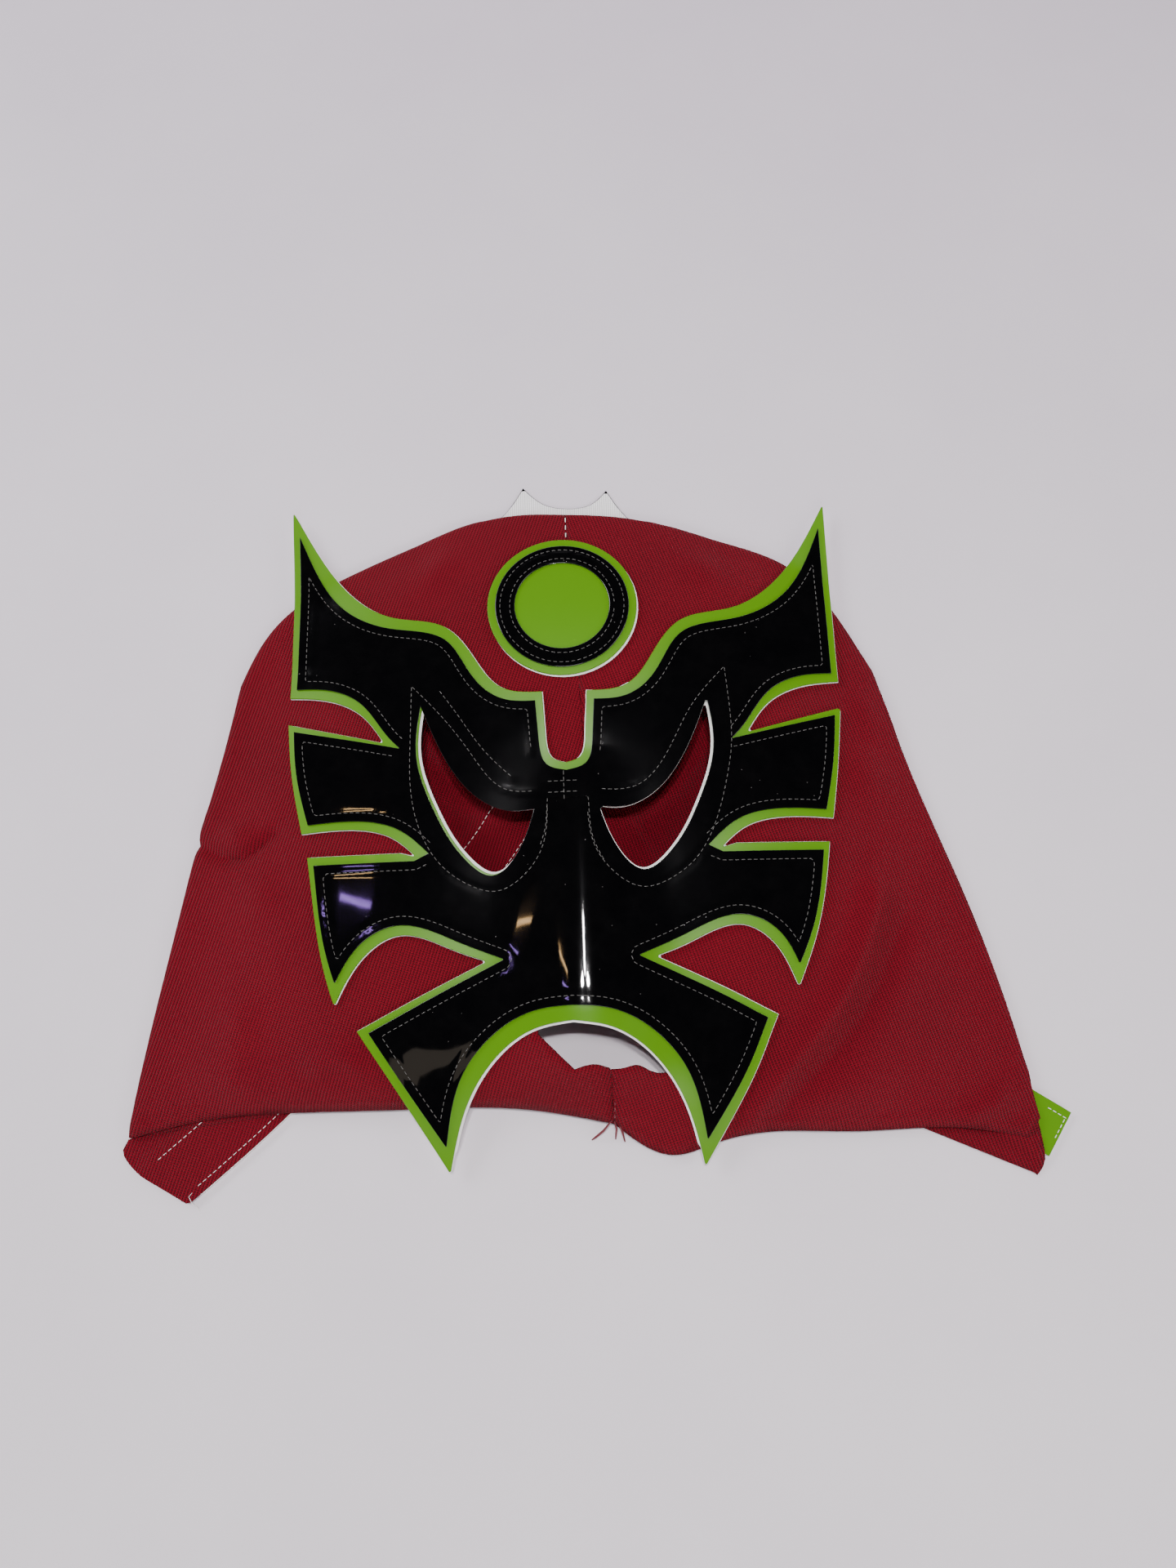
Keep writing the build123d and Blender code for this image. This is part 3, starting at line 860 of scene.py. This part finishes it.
slitLine = resampled(leftSlitLine, 2.0)
slitLine = slitLine[(slitLine[:, 0] < -6) & (slitLine[:, 0] > -131)]
leftBand = bandAlong(slitLine, 0.3, -19.8)
leftBand = leftBand[leftBand[:, 1] > -206]
rightLine = resampled(rightStripLine, 2.0)
rightBand = bandAlong(rightLine, 8.5, -8.5)
tapeHeights, backingHeights, vinylHeights = (0.0, 0.5), (0.55, 1.05), (1.1, 1.6)
leftStrip = dict(
    band=leftBand, fold=leftHinge, reach=(1.0, 1.6), body="left_corner", flat=(0.0205, 0.215), area=0.0039
)
rightStrip = dict(
    band=rightBand, fold=rightHinge, reach=(0.8, 0.8), body="right_tab", flat=(0.0175, 0.22), area=0.0035
)


def stripLayer(name, strip, heightPair, material, replaced):
    low, high = heightPair
    thing = plate(name, strip["band"], [], level(low), level(high), 2.2, material, edge=0.1)
    bent(thing, strip["fold"], *strip["reach"], "hood", strip["body"])
    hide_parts(*replaced)


stripLayer(
    "left_strip_loop_layer",
    leftStrip,
    tapeHeights,
    tapeFibre,
    ("left_strip_loop_tape", "corner_strip_loop_tape"),
)
stripLayer(
    "left_strip_backing_layer",
    leftStrip,
    backingHeights,
    whiteBacking,
    ("left_strip_backing", "corner_strip_backing"),
)
stripLayer(
    "right_strip_hook_layer",
    rightStrip,
    tapeHeights,
    tapeFibre,
    ("right_strip_hook_tape", "tab_hook_tape"),
)
stripLayer(
    "right_strip_backing_layer",
    rightStrip,
    backingHeights,
    whiteBacking,
    ("right_strip_backing", "tab_backing"),
)
stripLayer(
    "right_strip_vinyl_layer",
    rightStrip,
    vinylHeights,
    greenVinyl,
    ("right_strip_vinyl", "tab_vinyl"),
)

crestLoop = closed(
    [
        [(-27, 36), (-20, 43), (-14, 52)],
        [(-14, 52), (-6, 45), (3, 43), (12, 44.5), (18, 50)],
        [(18, 50), (23, 42), (29, 35)],
        [(29, 35), (24, 22), (2, 15), (-22, 22), (-27, 36)],
    ],
    1.4,
)
crestFace = plate("crest_face_layer", crestLoop, [], level(0), level(0.5), 2.5, blackPatent, edge=0.1)
place(crestFace, "hood", "black_patent", "crest_face")
crestInner = offsetLoop(crestLoop, -0.35)
crestBacking = plate("crest_backing_layer", crestInner, [], level(0.55), level(1.05), 1.6, whiteRib, 0.15)
place(crestBacking, "hood", "white_rib", "crest_backing")
print("strips and crest made")

layers = dict(backing=(0.85, 1.45), base=(1.5, 2.3), overlay=(2.35, 3.15), patch=(3.2, 3.6))
stitchLook = dict(pitch=2.2, dash=1.5, rise=0.15, inset=3.1)


# bottom and top of a layer above the front; the top is drawn in along its stitching
def heights(layer, sink=None):
    low, high = layers[layer]

    def top(p):
        z = frontForm(p) + high
        return z - (0 if sink is None else sink(p))

    return above(frontForm, low), top


borderRow = offsetLoop(overlayLoop, -stitchLook["inset"])
borderRow = borderRow[~((np.abs(borderRow[:, 0]) < 12) & (borderRow[:, 1] > -75))]
nearEyes = np.minimum(distanceTo(borderRow, loopBack(eyeRight)), distanceTo(borderRow, loopBack(eyeLeft)))
borderRow = borderRow[nearEyes > 5]
gaps = np.hypot(*np.diff(loopBack(borderRow), axis=0).T)
borderRow = np.roll(borderRow, -(int(np.argmax(gaps)) + 1), axis=0)
borderRows, run = [], [borderRow[0]]
for a, b in zip(borderRow, borderRow[1:]):
    if np.hypot(*(b - a)) > 4.5:
        borderRows.append(np.array(run))
        run = []
    run.append(b)
borderRows = [r for r in [*borderRows, np.array(run)] if len(r) > 2]

rowPoints = dict(
    rightEye=[(58, -26), (59, -40), (59, -55), (57, -66), (53, -80), (44, -96)]
    + [(36, -102), (25, -105), (17, -101), (9, -90), (7, -76)],
    rightBrow=[(58, -26), (45, -41), (35, -59), (25, -69), (10, -70)],
    leftEye=[(-55, -30), (-55.5, -53), (-55.5, -65), (-53, -80), (-44, -96)]
    + [(-36, -102), (-25, -105), (-17, -101), (-9, -90), (-7, -74)],
    leftBrow=[(-55, -30), (-44, -42), (-33, -57), (-22, -69), (-10, -70)],
    leftBrowDouble=[(-45, -32), (-38, -42), (-29, -55), (-18, -66)],
    noseLeft=[(-6, -66), (-7, -74), (-8, -84), (-10, -90)],
    noseRight=[(6.5, -66), (7.5, -75), (8.5, -87), (13, -97)],
)
faceRows = [*borderRows, *(smoothRun(points, 1.6) for points in rowPoints.values())]
faceRows = [resampled(r, 1.1) for r in faceRows]


def stitchSink(p):  # how deep the stitching pulls the patent in
    d = np.full(len(p), 9.0)
    for r in faceRows:
        near = (p[:, 0] > r[:, 0].min() - 3) & (p[:, 0] < r[:, 0].max() + 3)
        near &= (p[:, 1] > r[:, 1].min() - 3) & (p[:, 1] < r[:, 1].max() + 3)
        if near.any():
            d[near] = np.minimum(d[near], distanceTo(p[near], r))
    ripple = 0.5 + 0.5 * np.sin(p[:, 0] * 1.9) * np.sin(p[:, 1] * 2.1)
    return (0.07 + 0.05 * ripple) * np.exp(-((d / 0.75) ** 2))


def shifted(loop, x, y):
    return loop + np.array([x, y])


def ringSink(p):
    r = np.hypot(*p.T)
    return 0.16 * (np.exp(-(((r - 22.8) / 0.6) ** 2)) + np.exp(-(((r - 19.2) / 0.6) ** 2)))


mouthEdge = smoothRun([(41, -191), (37.5, -178), (29.5, -164.5), (13, -152), (0, -149.5)], 1.6)
notchEdge = smoothRun([(5, -58), (7, -52), (8, -33.5), (22.5, -31.5)], 1.6)
wide = np.clip(2.2 - distanceTo(np.stack([np.abs(baseLoop[:, 0]), baseLoop[:, 1]], 1), mouthEdge), 0, 1)
wide = wide + np.clip(1.5 - distanceTo(baseLoop, notchEdge), 0, 1) * 0.5
backingLoop = shifted(offsetLoop(baseLoop, 0.18 + 0.6 * wide), 0.1, 0.0)
backingEyes = [
    shifted(offsetLoop(eyeLeft, -0.55), 0.35, 0.3),
    shifted(offsetLoop(eyeRight, -0.55), -0.3, 0.3),
]
overlayEyes = [shifted(eyeLeft, -0.7, -0.6), shifted(offsetLoop(eyeRight, -0.1), 0.0, -0.1)]


def sewnLayer(name, outline, holes, layer, sink, spacing, material, slotName):
    low, high = heights(layer, sink)
    thing = plate(name, outline, holes, low, high, spacing, material, edge=0.2)
    place(thing, "hood", slotName, name.removesuffix("_layer"))


faceHoles = [eyeLeft, eyeRight]
sewnLayer(
    "face_backing_layer",
    backingLoop,
    backingEyes,
    "backing",
    None,
    2.6,
    whiteBacking,
    "white_backing",
)
sewnLayer(
    "face_base_layer", baseLoop, faceHoles, "base", None, 2.0, greenVinyl, "green_vinyl"
)
sewnLayer(
    "face_overlay_layer",
    overlayLoop,
    overlayEyes,
    "overlay",
    stitchSink,
    1.5,
    blackPatent,
    "black_patent",
)

bridgeCorners = [(-10, -65), (10, -65), (8.5, -73), (-8.5, -73), (-10, -65)]
bridgeLoop = closed([list(side) for side in zip(bridgeCorners, bridgeCorners[1:])], 1.2)
low, high = heights("patch")
bridge = plate("bridge_patch_layer", bridgeLoop, [], low, high, 1.2, blackPatent, edge=0.15)
place(bridge, "hood", "black_patent", "bridge_patch")


def circle(radius, n=96):
    t = np.linspace(0, 2 * math.pi, n, endpoint=False)
    return np.stack([radius * np.cos(t), radius * np.sin(t)], 1)


discBack, disc, ring = shifted(circle(27.6), 0.4, -0.45), circle(27.5), circle(24.6)
ringHole = circle(17.4, 72)
sewnLayer(
    "disc_backing_layer", discBack, [], "backing", None, 1.3, whiteBacking, "white_backing"
)
sewnLayer("disc_base_layer", disc, [], "base", None, 1.3, greenVinyl, "green_vinyl")
sewnLayer(
    "disc_ring_layer",
    ring,
    [ringHole],
    "overlay",
    ringSink,
    1.3,
    blackPatent,
    "black_patent",
)
print("face decoration made")


# stitches along a row, each one dipping into the cloth at both ends
def dashes(line, surface, pitch=stitchLook["pitch"], dash=stitchLook["dash"]):
    walk = np.concatenate([[0], np.cumsum(np.hypot(*np.diff(line, axis=0).T))])
    spots = []
    for k in range(int(walk[-1] / pitch)):
        s = k * pitch + np.array([0, 0.14, 0.5, 0.86, 1]) * dash + 0.3
        x, y = np.interp(s, walk, line[:, 0]), np.interp(s, walk, line[:, 1])
        p = np.stack([x, y], 1)
        z = surface(p) + stitchLook["rise"] * np.array([-1.0, 0.35, 0.7, 0.35, -1.0])
        spots.append(np.column_stack([p, z]))
    return spots


def onFace(p):
    return frontForm(p) + layers["overlay"][1] - stitchSink(p)


borderSpots = [s for r in faceRows[: len(borderRows)] for s in dashes(r, onFace)]
eyeSpots = [s for r in faceRows[len(borderRows) :] for s in dashes(r, onFace)]
place(capsules("border_stitching", borderSpots, clearThread, 0.12), "hood", "thread", "border_thread")
place(capsules("eye_stitching", eyeSpots, clearThread, 0.12), "hood", "thread", "eye_thread")

ringSpots = []
for radius in (22.8, 19.2):
    ringSpots += dashes(loopBack(circle(radius)), above(frontForm, layers["overlay"][1] - 0.14))
place(capsules("ring_stitching", ringSpots, clearThread, 0.12), "hood", "thread", "disc_thread")

bridgeSpots = []
for y in (-67, -71):
    bridgeSpots += dashes(smoothRun([(-7, y), (6, y)], 1), above(frontForm, layers["patch"][1]))
bridgeSpots += dashes(smoothRun([(-1, -63), (-1, -74)], 1), above(frontForm, layers["patch"][1]))
place(capsules("bridge_stitching", bridgeSpots, clearThread, 0.12), "hood", "thread", "bridge_thread")

crownSpots = dashes(smoothRun([(seam, 38), (seam, 28)], 1), above(frontCloth, 0.42), 3.2, 2.0)
place(capsules("crown_stitching", crownSpots, paleThread, 0.17), "hood", "thread", "crown_thread")

stripSpots = []
ending = slitLine[-1] - slitLine[-2]
for inset, further in ((2.7, 0.4), (18.6, 2.4)):
    run = np.concatenate([slitLine, [slitLine[-1] + ending * further]])
    band = bandAlong(run, -inset, -inset - 1)[: len(run)]
    stripSpots += dashes(resampled(band, 1.2), above(backCloth, 0.42))
looseEnd = [(-132, -203, 1.7), (-133.5, -205, 2.2), (-132.5, -207.2, 2.0)]
looseEnd += [(-130.8, -208.6, 1.2), (-130.2, -210.4, 0.5)]
stripSpots.append(looseEnd)
stripStitching = capsules("strip_stitching", stripSpots, paleThread, 0.11)
bent(stripStitching, leftHinge, 1.0, 1.6, "hood", "left_corner")
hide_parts("left_strip_thread", "corner_strip_thread")

tabLine = bandAlong(rightLine, 5.8, 5.0)[: len(rightLine)]
tabLine = tabLine[tabLine[:, 0] > 162.6]
tabSpots = dashes(resampled(tabLine, 0.8), level(1.62), 1.9, 1.3)
tabSpots += dashes(smoothRun([(168.6, -188.3), (164.0, -195.4)], 1), level(1.62), 2.0, 1.3)
place(capsules("tab_stitching", tabSpots, paleThread, 0.15), "right_tab", "thread", "tab_thread")

chinTails = [
    [(12, -184, 4.2), (9, -187.5, 3.0), (6.5, -189.5, 1.6), (5, -190.6, 0.5)],
    [(13, -184, 4.2), (13.6, -187, 3.0), (13.2, -190.5, 1.0)],
    [(14, -184, 4.2), (15.6, -188, 3.0), (16.4, -191.5, 0.8)],
]
chinSpots = [np.array(t) for t in chinTails]
chinSpots += dashes(smoothRun([(13.6, -168), (13.2, -184)], 1), above(frontCloth, 0.2), 2.2, 1.6)
place(capsules("chin_stitching", chinSpots, redThread, 0.42, 7), "hood", "red_thread", "chin_thread")
print("stitching made")

tableLook = dict(low=(0.60, 0.535, 0.615), high=(0.80, 0.755, 0.79), near=-0.3, far=0.28, rough=0.55)
tableMaterial, tree, shader, where = newMaterial("tableTop")
split = tree.nodes.new("ShaderNodeSeparateXYZ")
tree.links.new(where, split.inputs[0])
# the table is painted darker and more lavender towards its far edge, which is painted shade, added to faint
# noise blotches of its own
along = tree.nodes.new("ShaderNodeMapRange")
along.inputs["From Min"].default_value = tableLook["far"]
along.inputs["From Max"].default_value = tableLook["near"]
tree.links.new(split.outputs["Y"], along.inputs["Value"])
blotchAndShade = mathNode(tree, "MULTIPLY_ADD", noiseNode(tree, where, 9.0, 5, 0.6), 0.5, -0.25)
blotchAndShade = mathNode(tree, "MULTIPLY_ADD", along.outputs[0], 0.7, mathNode(tree, "ADD", blotchAndShade, 0.15))
scuffs = noiseNode(tree, where, 240.0, 4, 0.7)
addBump(tree, shader, scuffs, 0.25, 0.0002)
tree.links.new(tinted(tree, blotchAndShade, tableLook["low"], tableLook["high"]), shader.inputs["Base Color"])
shader.inputs["Roughness"].default_value = tableLook["rough"]
shader.inputs["Specular IOR Level"].default_value = 0.3
tableCorners = [(-4000, -4000, 0), (4000, -4000, 0), (4000, 4000, 0), (-4000, 4000, 0)]
floor = meshObject("table_top", tableCorners, [(0, 1, 2, 3)], tableMaterial)
floor.location.z = -0.0002

lights = (  # name, place, aimed at, width, length, power, colour
    ("window", (-1.0, 0.55, 0.72), (0, -0.07, 0), 0.8, 0.5, 11, (0.96, 0.97, 1.0)),
    ("wall", (1.1, -0.15, 0.6), (0, -0.07, 0), 0.8, 0.5, 4, (1.0, 0.96, 0.94)),
    ("overhead", (-0.01, 0.135, 1.1), (0, -0.09, 0.02), 0.03, 0.11, 2.6, (1.0, 0.97, 0.99)),
    ("overheadRight", (0.075, 0.045, 1.1), (0, -0.09, 0.02), 0.05, 0.04, 4.5, (1.0, 0.97, 0.99)),
    ("overheadLeft", (-0.085, 0.045, 1.1), (0, -0.09, 0.02), 0.05, 0.04, 4.5, (1.0, 0.97, 0.99)),
    ("front", (0.1, -1.05, 0.85), (0, -0.09, 0.02), 0.7, 0.3, 6, (1.0, 0.97, 0.98)),
    ("goldLamp", (-0.58, 0.12, 1.1), (0, -0.09, 0.02), 0.012, 0.17, 0.09, (1.0, 0.62, 0.28)),
    ("violetLamp", (-0.55, 0.04, 1.1), (0, -0.09, 0.02), 0.010, 0.13, 0.05, (0.5, 0.28, 1.0)),
    ("shelf", (-0.34, -0.62, 1.1), (0, -0.09, 0.02), 0.12, 0.3, 0.045, (1.0, 0.84, 0.68)),
)
for name, spot, aim, width, length, power, colour in lights:
    light = bpy.data.lights.new(name, "AREA")
    light.shape = "RECTANGLE"
    light.size, light.size_y = width, length
    light.energy = power
    light.color = colour
    thing = bpy.data.objects.new(name, light)
    thing.location = spot
    thing.rotation_euler = (Vector(aim) - Vector(spot)).to_track_quat("-Z", "Y").to_euler()
    bpy.context.scene.collection.objects.link(thing)

worldLook = dict(walls=(1.0, 0.96, 1.02), ceiling=(0.012, 0.012, 0.014), low=0.45, high=0.70, strength=0.65)
world = bpy.data.worlds.new("room")
world.use_nodes = True
tree = world.node_tree
split = tree.nodes.new("ShaderNodeSeparateXYZ")
tree.links.new(tree.nodes.new("ShaderNodeTexCoord").outputs["Generated"], split.inputs[0])
rise = tree.nodes.new("ShaderNodeMapRange")
rise.interpolation_type = "SMOOTHSTEP"
rise.inputs["From Min"].default_value = worldLook["low"]
rise.inputs["From Max"].default_value = worldLook["high"]
tree.links.new(split.outputs["Z"], rise.inputs["Value"])
sky = tree.nodes["Background"]
tree.links.new(tinted(tree, rise.outputs[0], worldLook["walls"], worldLook["ceiling"]), sky.inputs["Color"])
sky.inputs["Strength"].default_value = worldLook["strength"]
bpy.context.scene.world = world

cameraLook = dict(aim=(0.0075, -0.065, 0.0), distance=0.424, elevation=79, turn=1.8, lens=26.5)
lift, turn = math.radians(cameraLook["elevation"]), math.radians(cameraLook["turn"])
back = Vector((0, -math.cos(lift), math.sin(lift)))
right = Vector((1, 0, 0))
up = back.cross(right)
right, up = right * math.cos(turn) - up * math.sin(turn), up * math.cos(turn) + right * math.sin(turn)
sceneCamera = bpy.data.cameras.new("camera")
sceneCamera.lens = cameraLook["lens"]
sceneCamera.sensor_width = 36
cameraThing = bpy.data.objects.new("camera", sceneCamera)
cameraThing.matrix_world = Matrix((right, up, back)).transposed().to_4x4()
cameraThing.location = Vector(cameraLook["aim"]) + back * cameraLook["distance"]
bpy.context.scene.collection.objects.link(cameraThing)
bpy.context.scene.camera = cameraThing
print("table, light and camera ready")
